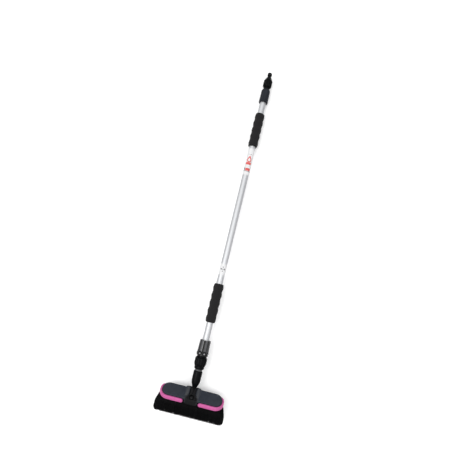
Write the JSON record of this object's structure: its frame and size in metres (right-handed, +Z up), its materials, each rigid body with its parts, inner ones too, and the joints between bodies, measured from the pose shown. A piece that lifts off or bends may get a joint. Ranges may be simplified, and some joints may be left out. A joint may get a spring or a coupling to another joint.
{
  "type": "telescopic water-fed wash brush",
  "caption": "Telescopic aluminium pole with foam grips, a twist lock, a hose adaptor and a wide flow-through wash brush with a rubber bumper.",
  "frame": {"origin": "middle of the footprint on the ground, as the collapsed brush lies by itself on the rear bristle tips and the bell of the hose adaptor", "axes": "+X across the brush head, +Y along the pole towards the hose end, +Z up"},
  "size_m": [0.2248, 1.2206, 0.0896],
  "materials": {
    "aluminium": "satin anodised, fine marks along the tube",
    "screw_steel": "plated",
    "black_plastic": "semi-gloss moulded",
    "collar_plastic": "glossy moulded",
    "slate_plastic": "fine matte moulded",
    "inner_plastic": "natural moulded",
    "ring_plastic": "matte moulded",
    "foam": "closed-cell foam",
    "seal_rubber": "soft",
    "bumper_rubber": "soft satin",
    "label_film": null,
    "bristle_fibre": "dense flagged fibres"
  },
  "bodies": {
    "outer_pole": {"outer_tube": "aluminium", "end_spigot": "black_plastic", "spigot_o_ring": "seal_rubber", "end_sleeve": "slate_plastic", "upper_grip": "foam", "lower_grip": "foam", "info_label": "label_film", "lock_label": "label_film", "collar_ferrule": "inner_plastic", "guide_bush": "inner_plastic"},
    "hose_adaptor": {"hose_adaptor": "black_plastic", "nose_o_ring": "seal_rubber", "adaptor_washer": "seal_rubber"},
    "lock_collar": {"lock_collar": "collar_plastic"},
    "collet": {"collet": "inner_plastic"},
    "inner_pole": {"inner_tube": "aluminium", "piston": "inner_plastic", "piston_seal": "seal_rubber", "coupling_body": "black_plastic", "tube_end_seal": "seal_rubber"},
    "coupling_nut": {"coupling_nut": "black_plastic"},
    "brush_head": {"brush_neck": "black_plastic", "neck_seal": "seal_rubber", "neck_ring": "ring_plastic", "hub_o_ring": "seal_rubber", "top_cover": "slate_plastic", "hub_screw": "screw_steel", "brush_block": "black_plastic", "chamber_seal": "seal_rubber", "block_screw_1": "screw_steel", "block_screw_2": "screw_steel", "block_screw_3": "screw_steel", "block_screw_4": "screw_steel", "left_bumper": "bumper_rubber", "right_bumper": "bumper_rubber", "bristles": "bristle_fibre"}
  },
  "joints": [
    {"name": "pole_extend", "type": "slide", "parent": "outer_pole", "child": "inner_pole", "axis": [0, -0.9997, 0.0236], "range_m": [0, 0.7]},
    {"name": "collar_turn", "type": "hinge", "parent": "outer_pole", "child": "lock_collar", "pos_m": [0, -0.39761, 0.03913], "axis": [0, 0.9997, -0.0236], "range_deg": [0, 90]},
    {"name": "collet_slide", "type": "slide", "parent": "outer_pole", "child": "collet", "axis": [0, -0.9997, 0.0236], "range_m": [0, 0.0015]},
    {"name": "coupling_nut_turn", "type": "hinge", "parent": "inner_pole", "child": "coupling_nut", "pos_m": [0, -0.44559, 0.04026], "axis": [0, 0.9997, -0.0236], "range_deg": [0, 180]},
    {"name": "head_turn", "type": "hinge", "parent": "inner_pole", "child": "brush_head", "pos_m": [0, -0.46959, 0.04082], "axis": [0, 0.9997, -0.0236], "range_deg": [-180, 180]},
    {"name": "hose_adaptor_turn", "type": "hinge", "parent": "outer_pole", "child": "hose_adaptor", "pos_m": [0, 0.56213, 0.0165], "axis": [0, 0.9997, -0.0236], "range_deg": [0, 180]}
  ],
  "couplings": [
    {"joint": "collet_slide", "follows": "collar_turn", "m_per_rad": 0.00095397}
  ]
}
